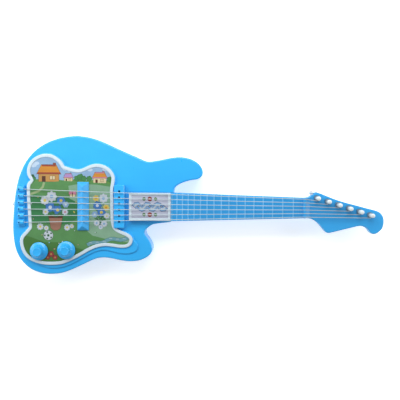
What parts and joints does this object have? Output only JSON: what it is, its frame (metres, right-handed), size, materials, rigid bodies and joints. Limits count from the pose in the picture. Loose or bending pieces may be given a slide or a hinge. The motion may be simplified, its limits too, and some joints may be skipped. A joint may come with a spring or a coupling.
{
  "type": "toy electric guitar",
  "caption": "Toy plucked-string guitar shaped like an electric guitar: horned body with a printed pickguard, bridge bar, knobs, fretted neck and an angled headstock with tuning pegs.",
  "frame": {"origin": "on the body's flat back, on the neck's centreline, under the bridge ridge", "axes": "+X along the neck towards the headstock, +Y towards the upper horn, +Z out of the face"},
  "size_m": [0.5574, 0.2075, 0.055],
  "materials": {
    "body_blue": "moulded gloss blue plastic",
    "neck_blue": "moulded gloss deep blue plastic",
    "white_plastic": "glossy white plastic",
    "printed_label": "printed film, meadow picture",
    "badge_print": "printed film, pale with small motifs",
    "string": "whitish nylon monofilament",
    "screw_steel": "zinc plated steel",
    "clip_steel": "spring steel"
  },
  "bodies": {
    "root": {"body_front": "body_blue", "body_back": "body_blue", "body_screws": "screw_steel", "neck_joint_screws": "screw_steel", "pickguard": "white_plastic", "pickguard_label": "printed_label", "tailpiece": "body_blue", "tailpiece_screws": "screw_steel", "bridge_bar": "body_blue", "bridge_screws": "screw_steel", "pickup_cover": "body_blue", "pickup_screws": "screw_steel", "strap_button_body": "white_plastic", "strap_button_head": "white_plastic", "strap_screws": "screw_steel", "neck_front": "neck_blue", "neck_back": "neck_blue", "neck_screws": "screw_steel", "badge_frame": "white_plastic", "badge_label": "badge_print", "string_1": "string", "string_2": "string", "string_3": "string", "string_4": "string", "string_5": "string", "string_6": "string"},
    "peg_body_1": {"peg_1": "white_plastic", "peg_clip_1": "clip_steel", "string_coil_1": "string"},
    "peg_body_2": {"peg_2": "white_plastic", "peg_clip_2": "clip_steel", "string_coil_2": "string"},
    "peg_body_3": {"peg_3": "white_plastic", "peg_clip_3": "clip_steel", "string_coil_3": "string"},
    "peg_body_4": {"peg_4": "white_plastic", "peg_clip_4": "clip_steel", "string_coil_4": "string"},
    "peg_body_5": {"peg_5": "white_plastic", "peg_clip_5": "clip_steel", "string_coil_5": "string"},
    "peg_body_6": {"peg_6": "white_plastic", "peg_clip_6": "clip_steel", "string_coil_6": "string"},
    "knob_body_1": {"knob_1": "body_blue", "knob_clip_1": "clip_steel"},
    "knob_body_2": {"knob_2": "body_blue", "knob_clip_2": "clip_steel"}
  },
  "joints": [
    {"name": "peg_turn_1", "type": "hinge", "parent": "root", "child": "peg_body_1", "pos_m": [0.347, 0.0146, 0.032], "axis": [0, 0, 1], "continuous": true},
    {"name": "peg_turn_2", "type": "hinge", "parent": "root", "child": "peg_body_2", "pos_m": [0.3629, 0.0097, 0.032], "axis": [0, 0, 1], "continuous": true},
    {"name": "peg_turn_3", "type": "hinge", "parent": "root", "child": "peg_body_3", "pos_m": [0.3788, 0.0048, 0.032], "axis": [0, 0, 1], "continuous": true},
    {"name": "peg_turn_4", "type": "hinge", "parent": "root", "child": "peg_body_4", "pos_m": [0.3947, -0.0001, 0.032], "axis": [0, 0, 1], "continuous": true},
    {"name": "peg_turn_5", "type": "hinge", "parent": "root", "child": "peg_body_5", "pos_m": [0.4106, -0.005, 0.032], "axis": [0, 0, 1], "continuous": true},
    {"name": "peg_turn_6", "type": "hinge", "parent": "root", "child": "peg_body_6", "pos_m": [0.4265, -0.0099, 0.032], "axis": [0, 0, 1], "continuous": true},
    {"name": "knob_turn_1", "type": "hinge", "parent": "root", "child": "knob_body_1", "pos_m": [-0.0655, -0.0676, 0.034], "axis": [0, 0, 1], "range_deg": [-150, 150]},
    {"name": "knob_turn_2", "type": "hinge", "parent": "root", "child": "knob_body_2", "pos_m": [-0.025, -0.0659, 0.034], "axis": [0, 0, 1], "range_deg": [-150, 150]}
  ]
}
